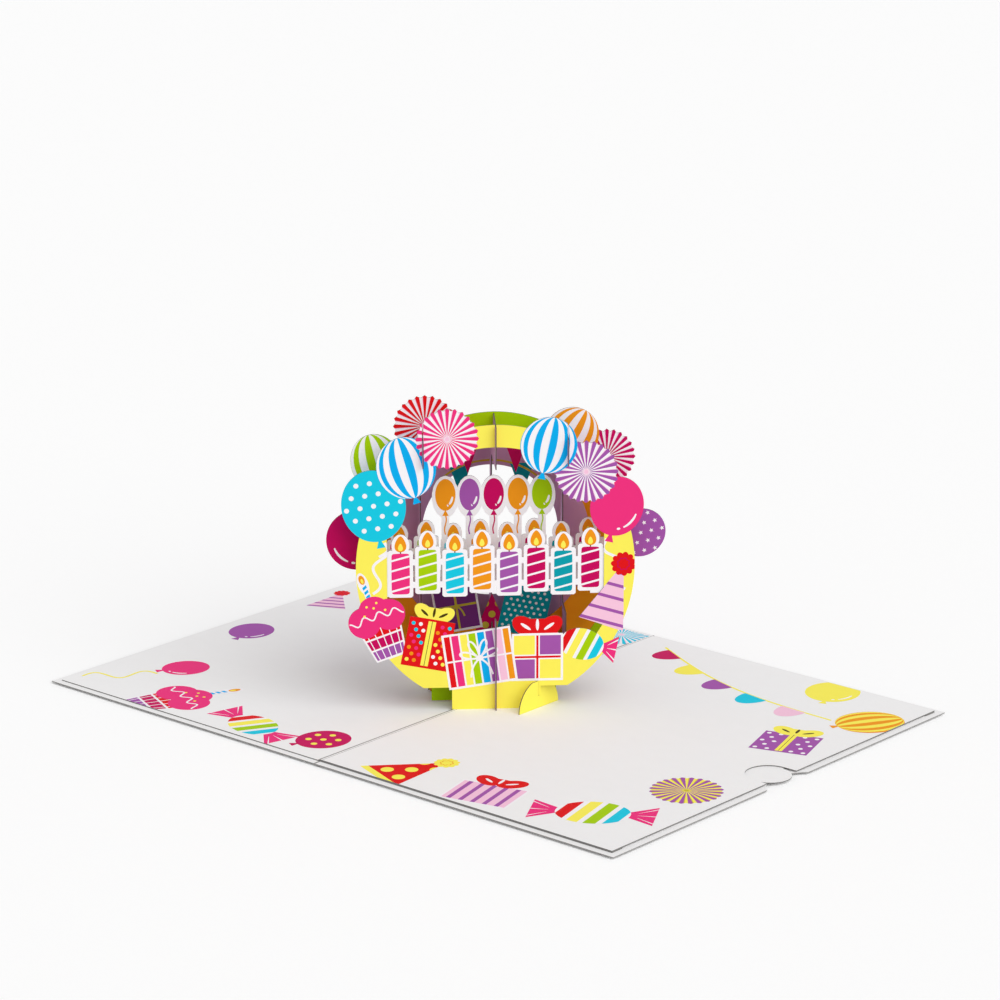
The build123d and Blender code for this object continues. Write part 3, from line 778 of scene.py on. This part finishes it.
def painted_over(tree, below, colour, where):
    """The colour where a value is 1, and elsewhere what is below it: another colour or a node's output."""
    mix = tree.nodes.new("ShaderNodeMix")
    mix.data_type = "RGBA"
    mix.inputs["B"].default_value = (*colour, 1)
    tree.links.new(where, mix.inputs["Factor"])
    if isinstance(below, bpy.types.NodeSocket):
        tree.links.new(below, mix.inputs["A"])
    else:
        mix.inputs["A"].default_value = (*below, 1)
    return mix.outputs["Result"]


def ink_material():
    """Flat offset inks: the mesh's ink colour on the card's own fibres."""
    material = bpy.data.materials.get("printed_ink")
    if material:
        return material
    material, tree, _, tint = paper_nodes("printed_ink")
    ink = tree.nodes.new("ShaderNodeVertexColor")
    ink.layer_name = "ink"
    tree.links.new(ink.outputs["Color"], tint.inputs[0])
    return material


def faced_card(name, colour, facing):
    """Coloured card whose cut edges are dark: laser scorch, deepened as painted shade. The faces are where
    |normal . facing| is over 0.7.
    """
    material, tree, place, tint = paper_nodes(name)
    along = new_node(tree, "VectorMath", "DOT_PRODUCT")
    along.inputs[1].default_value = facing
    size = new_node(tree, "Math", "ABSOLUTE")
    face = new_node(tree, "Math", "GREATER_THAN")
    face.inputs[1].default_value = 0.7
    tree.links.new(place.outputs["Normal"], along.inputs[0])
    tree.links.new(along.outputs["Value"], size.inputs[0])
    tree.links.new(size.outputs["Value"], face.inputs[0])
    # The cut edges get the dark edge colour: laser scorch deepened as painted shade
    shown = painted_over(tree, finish().cut_edge_scorch_and_shade, colour, face.outputs["Value"])
    tree.links.new(shown, tint.inputs[0])
    return material


def card_with_painted_shade(name, edge, line_x, half_width):
    """White card with painted shade: darker on its upright edges, where |normal z| < 0.5, and along the fold,
    where |x - line_x| < half_width.
    """
    material, tree, place, tint = paper_nodes(name)
    shown = finish().stock_white
    # Painted shade: a grey line along the fold, then a darker rim on the upright edges
    for source, axis, middle, reach, shade in (
        ("Object", "X", line_x, half_width, finish().fold_shade_line),
        ("Normal", "Z", 0.0, 0.5, edge),
    ):
        split = new_node(tree, "SeparateXYZ")
        near = new_node(tree, "Math", "COMPARE")
        near.inputs[1].default_value = middle
        near.inputs[2].default_value = reach
        tree.links.new(place.outputs[source], split.inputs["Vector"])
        tree.links.new(split.outputs[axis], near.inputs[0])
        shown = painted_over(tree, shown, shade, near.outputs["Value"])
    tree.links.new(shown, tint.inputs[0])
    return material


def seen_brighter(tree, low, high):
    """Value that is high for rays from the camera, a mirror or glass, and low for the light on the object."""
    rays = new_node(tree, "LightPath")
    value = rays.outputs["Is Camera Ray"]
    for kind in ("Is Glossy Ray", "Is Transmission Ray"):
        larger = new_node(tree, "Math", "MAXIMUM")
        tree.links.new(value, larger.inputs[0])
        tree.links.new(rays.outputs[kind], larger.inputs[1])
        value = larger.outputs["Value"]
    seen = new_node(tree, "MapRange", To_Min=low, To_Max=high)
    tree.links.new(value, seen.inputs["Value"])
    return seen.outputs["Result"]


def dress(node, material):
    """Gives a CAD node its material."""
    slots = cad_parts[node].data.materials
    slots.clear()
    slots.append(material)


# Stage


def add_floor(scene):
    """Pale floor, which the camera sees a little brighter than the card does."""
    mesh = bpy.data.meshes.new("floor")
    corners = [(x, y, -FLOOR_DROP) for x, y in block(2 * FLOOR_HALF, 2 * FLOOR_HALF)]
    mesh.from_pydata(corners, [], [(0, 1, 2, 3)])
    floor = bpy.data.objects.new("floor", mesh)
    scene.collection.objects.link(floor)
    material = bpy.data.materials.new("floor")
    material.use_nodes = True
    tree = material.node_tree
    shader = tree.nodes["Principled BSDF"]
    shader.inputs["Roughness"].default_value = 0.9
    shader.inputs["Specular IOR Level"].default_value = 0.1
    tone = new_node(tree, "VectorMath", "SCALE")
    tone.inputs[0].default_value = finish().floor_colour
    tree.links.new(seen_brighter(tree, 1.0, finish().floor_glow), tone.inputs["Scale"])
    tree.links.new(tone.outputs["Vector"], shader.inputs["Base Color"])
    mesh.materials.append(material)


def add_lights(scene):
    """Broad sun from the right, and an even light all round that the camera sees as white."""
    sun = bpy.data.lights.new("key", "SUN")
    sun.energy = finish().key_strength
    sun.angle = np.radians(SUN_SPREAD)
    lamp = bpy.data.objects.new("key", sun)
    lamp.rotation_euler = Vector(SUN_FROM).to_track_quat("Z", "Y").to_euler()
    scene.collection.objects.link(lamp)
    world = bpy.data.worlds.new("room")
    world.use_nodes = True
    tree = world.node_tree
    background = tree.nodes["Background"]
    background.inputs["Color"].default_value = (1, 1, 1, 1)
    tree.links.new(seen_brighter(tree, finish().fill_strength, 1.0), background.inputs["Strength"])
    scene.world = world


def add_camera(scene):
    """Camera at the photograph's viewing angle."""
    camera = bpy.data.objects.new("camera", bpy.data.cameras.new("camera"))
    camera.data.lens = CAMERA_LENS
    camera.data.sensor_width = CAMERA_SENSOR
    camera.data.clip_start = 0.05
    camera.data.clip_end = 40
    camera.location = CAMERA_PLACE
    way = Vector(CAMERA_AIM) - camera.location
    camera.rotation_euler = way.to_track_quat("-Z", "Y").to_euler()
    scene.collection.objects.link(camera)
    scene.camera = camera


class CARD_OT_stage(Operator):
    """Pale floor, sun, even light and the camera"""

    bl_idname = "card.stage"
    bl_label = "Stage"

    def execute(self, context):
        add_floor(context.scene)
        add_lights(context.scene)
        add_camera(context.scene)
        context.scene.view_settings.view_transform = "Standard"
        return {"FINISHED"}


# Card stock, and the print of each sheet


class CARD_OT_stock(Operator):
    """Card stock of the cover, liners, note card, tabs and slices"""

    bl_idname = "card.stock"
    bl_label = "Card stock"

    def execute(self, context):
        # The edge colours of the liners, note card and cover are painted shade
        colours, edge = inks(), finish().liner_edge_shade
        along_slices, along_crosses, along_tabs = (TURN, -TURN, 0), (TURN, TURN, 0), (1, 0, 0)
        # The place and half width of the painted shade line along the fold are in metres, and the note card
        # has no line
        for node, shade, line_x, half_width in (
            ("cover", finish().cover_edge_shade, 0, 0.0004),
            ("liner_left", edge, -0.0007, 0.0003),
            ("liner_right", edge, 0.0011, 0.00012),
            ("note_card", edge, 0, 0),
        ):
            dress(node, card_with_painted_shade(node + "_card", shade, line_x, half_width))
        for node, colour, facing in (
            ("front_slice", colours.yellow, along_slices),
            ("front_row", colours.white, along_slices),
            ("second_slice", colours.lime, along_slices),
            ("third_slice", colours.orange, along_slices),
            ("back_slice", colours.lilac, along_slices),
            ("centre_cross", colours.lilac, along_crosses),
            ("left_cross", colours.lilac, along_crosses),
            ("right_cross", colours.lilac, along_crosses),
            ("anchor_tab_right", colours.yellow, along_tabs),
            ("anchor_tab_left", colours.yellow, along_tabs),
        ):
            dress(node, faced_card(node + "_card", colour, facing))
        return {"FINISHED"}


class CARD_OT_front_slice(Operator):
    """Print of the front slice: balloons, fans, presents, cupcake, sweet and hat"""

    bl_idname = "card.front_slice"
    bl_label = "Front slice print"

    def execute(self, context):
        art, near = [], FRONT_RADIUS
        for start, end, bulge in (
            ((-37.5, 61), (-41.5, 43), 1.9),
            ((37.6, 61), (44.0, 43), -2.2),
            ((-27, 76), (-39.4, 56), 1.5),
        ):
            art.append((band(curl(start, end, bulge, 3), 0.95), "white", None))
        topped_hat = hat(16, 22.5, "pale_pink", "purple") + pompom(4.3, 22.5, "red", "magenta")
        put(art, topped_hat, *on_ring(329.8, near - 8.3), -19.4)
        put(art, sweet(15, 11, 4.6, 9.6), *on_ring(316.5, near - 9.4), -12)
        put(art, cupcake(), *on_ring(206.4, near - 5.7), 20)
        put(art, dotted_balloon(21.9, 25.2, "cyan"), *on_ring(151.5, near - 3.1), 9.5)
        put(art, striped_balloon(20.2, 21.7, "sky"), *on_ring(130.3, near - 3.4), 16)
        put(art, fan(10.6, "hot_pink"), *on_ring(109.8, near - 1.8))
        put(art, balloon(18.3, 20.9, "hot_pink") + gleam(18, 20.7), *on_ring(26.8, near - 3.9), -12)
        put(art, fan(10.9, "purple"), *on_ring(47.2, near - 4.9))
        put(art, striped_balloon(19.2, 19.7, "sky"), *on_ring(67.1, near - 3.8), -12)
        gift = on_ring(229.3, near - 14.6)
        dots = ("yellow", "orange", "hot_pink", "cyan", "white")
        put(art, bow(3.4, 8.7, "yellow"), *gift, -11)
        put(art, dotted_present(15.6, 17.4, "red", dots, ribbon="yellow"), *gift, -11)
        gift = on_ring(293.8, near - 14.6)
        put(art, bow(4.2, 8.4, "red", "white"), *gift)
        put(art, quartered_present(17.4, 16.8, "yellow", "purple", "red"), *gift)
        rainbow = ("red", "hot_pink", "yellow", "lime", "sky", "purple", "pale_pink", "orange")
        put(art, striped_present(23.5, 19.6, rainbow), *on_ring(260.3, near - 17.2), 8)
        print_sheet("front_slice", slice_sheet(FRONT), art, both_sides=True)
        return {"FINISHED"}


class CARD_OT_front_row(Operator):
    """Print of the candle row behind the front slice's window"""

    bl_idname = "card.front_row"
    bl_label = "Front row print"

    def execute(self, context):
        art = []
        candle_row_art(art, ROW_FLOOR)
        print_sheet("front_row", slice_sheet(FRONT + STOCK), art, both_sides=True)
        return {"FINISHED"}


class CARD_OT_second_slice(Operator):
    """Print of the second slice: balloons and fans, the second candle row and the row of small balloons"""

    bl_idname = "card.second_slice"
    bl_label = "Second slice print"

    def execute(self, context):
        art, near = [], SECOND_RADIUS
        low = ROW_FLOOR + SECOND_LIFT
        art.append((oval(WINDOW_RADIUS, WINDOW_RADIUS, 0, RING_CENTRE, 120), "lime", None))
        art.append((box(-WINDOW_RADIUS, low - 2, WINDOW_RADIUS, BUD_CENTRE + BUD_LENGTH), "white", 0))
        candle_row_art(art, low)
        bud_row_art(art)
        put(art, balloon(20.8, 21.2, "magenta") + gleam(20.6, 21, -1), *on_ring(170.7, near - 4.6), 10)
        put(art, striped_balloon(17.2, 20.2, "lime", stripes=4), *on_ring(138.9, near + 1), 14)
        put(art, fan(10.7, "red"), *on_ring(116.2, near + 0.8))
        put(art, starry_balloon(16.7, 17.7, "purple"), *on_ring(9.4, near - 1), -48)
        put(art, fan(9.8, "magenta"), *on_ring(42.7, near + 0.3))
        put(art, striped_balloon(18.7, 19.2, "orange"), *on_ring(58.8, near - 1), -30)
        print_sheet("second_slice", slice_sheet(SECOND), art, both_sides=True)
        return {"FINISHED"}


class CARD_OT_third_slice(Operator):
    """Print of the third slice: presents, small hat, pennants and their string"""

    bl_idname = "card.third_slice"
    bl_label = "Third slice print"

    def execute(self, context):
        art, hole, centre = [], THIRD_HOLE, THIRD_HOLE_CENTRE
        pennants_art(art, hole, centre, (76, 104), "magenta", (60, 120), 1.3)
        put(art, hat(12.5, 15, "magenta", "gold", dotted=True), 0, centre - hole)
        tied = present(15.5, 18, "plum") + ribbon_cross(15.5, 18, "gold", 0.8) + drawn_bow(4.2, "gold", 0.6)
        put(art, tied, *on_ring(242, hole - 7.6, centre), 9)
        dotted = dotted_present(16, 20, "teal", ("white",), pitch=2.2, size=0.5)
        put(art, dotted, *on_ring(296, hole - 7.2, centre), -12)
        print_sheet("third_slice", slice_sheet(THIRD), art, both_sides=True)
        return {"FINISHED"}


class CARD_OT_back_slice(Operator):
    """Print of the back slice: pennants on their string"""

    bl_idname = "card.back_slice"
    bl_label = "Back slice print"

    def execute(self, context):
        art = []
        pennants_art(art, BACK_HOLE, BACK_HOLE_CENTRE, (62, 116), "teal", (48, 130), 1.6)
        print_sheet("back_slice", slice_sheet(BACK), art, both_sides=True)
        return {"FINISHED"}


class CARD_OT_right_liner(Operator):
    """Border print of the right liner"""

    bl_idname = "card.right_liner"
    bl_label = "Right liner print"

    def execute(self, context):
        art = []
        topped_hat = hat(17, 20, "red", "yellow", dotted=True) + pompom(3.4, 20, "yellow", "orange")
        put(art, topped_hat, 25, -86, -20, 1.3)
        stripes = [(box(left, -9, left + 1.6, 9), "purple", 1) for left in np.arange(-9.6, 11, 4.3)]
        put(art, present(24, 18, "pale_pink") + stripes, 62, -75, 14)
        put(art, bow(4.4, 9, "red", "white"), 62, -75, 14)
        put(art, sweet(24, 19, 8, 16), 99, -65, 30)
        put(art, fan(12, "purple", "yellow", "gold"), 109, -30)
        dotted = dotted_present(20, 18, "purple", ("white",), pitch=4.2, size=0.8, ribbon="yellow")
        put(art, dotted, 106, 27, 18)
        put(art, bow(4.2, 9, "yellow"), 106, 27, 18)
        put(art, striped_balloon(21, 24, "orange", "yellow"), 115, 62, -30)
        put(art, balloon(19, 21, "yellow") + gleam(18.8, 20.8), 87, 79, 20)
        bunting_art(art, (13, 79), (104, 55), -7, ("magenta", "yellow", "purple", "cyan", "pale_pink"))
        print_sheet("liner_right", deck_sheet(RIGHT_DECK), art)
        return {"FINISHED"}


class CARD_OT_left_liner(Operator):
    """Border print of the left liner"""

    bl_idname = "card.left_liner"
    bl_label = "Left liner print"

    def execute(self, context):
        art = []
        art.append((band(curl((-122, -79), (-104, -60), 3.2, 3), 0.9), "yellow", None))
        put(art, balloon(15, 17, "hot_pink") + gleam(15, 17), -101, -49, -30)
        put(art, cupcake(), -80, -75, -24, 1.3)
        put(art, sweet(21, 15, 8, 14), -41, -76, -14)
        put(art, dotted_balloon(17, 19, "magenta", "yellow", 5, 1.1), -13, -71, -25)
        put(art, fan(11, "cyan"), -9, 81)
        dotted = dotted_present(15, 14, "lime", ("white",), pitch=3.4, size=0.6, ribbon="hot_pink")
        put(art, dotted, -52, 76, 12)
        put(art, striped_balloon(18, 20, "orange"), -88, 74, 18)
        topped_hat = hat(15, 18, "pale_pink", "purple") + pompom(3.2, 18, "red", "magenta")
        put(art, topped_hat, -112, 34, 24)
        put(art, balloon(16, 18, "purple") + gleam(16, 18), -113, -4, 12)
        print_sheet("liner_left", deck_sheet(LEFT_DECK), art)
        return {"FINISHED"}


STEPS = (
    CARD_OT_stage,
    CARD_OT_stock,
    CARD_OT_front_slice,
    CARD_OT_front_row,
    CARD_OT_second_slice,
    CARD_OT_third_slice,
    CARD_OT_back_slice,
    CARD_OT_right_liner,
    CARD_OT_left_liner,
)


class CARD_PT_panel(Panel):
    """Lists the steps that dress the card"""

    bl_idname = "CARD_PT_panel"
    bl_label = "Pop Up Card"
    bl_space_type = "VIEW_3D"
    bl_region_type = "UI"
    bl_category = "Pop Up Card"

    def draw(self, context):
        for step in STEPS:
            self.layout.operator(step.bl_idname)


CLASSES = (PrintInks, CardFinish, *STEPS, CARD_PT_panel)


def register():
    """Adds the classes and the two groups of settings to the scene."""
    for cls in CLASSES:
        bpy.utils.register_class(cls)
    bpy.types.Scene.card_inks = PointerProperty(type=PrintInks)
    bpy.types.Scene.card_finish = PointerProperty(type=CardFinish)


def unregister():
    """Takes them away again."""
    del bpy.types.Scene.card_inks
    del bpy.types.Scene.card_finish
    for cls in reversed(CLASSES):
        bpy.utils.unregister_class(cls)


def main():
    register()
    bpy.ops.card.stage()
    bpy.ops.card.stock()
    bpy.ops.card.front_slice()
    bpy.ops.card.front_row()
    bpy.ops.card.second_slice()
    bpy.ops.card.third_slice()
    bpy.ops.card.back_slice()
    bpy.ops.card.right_liner()
    bpy.ops.card.left_liner()


if __name__ == "__main__":
    main()
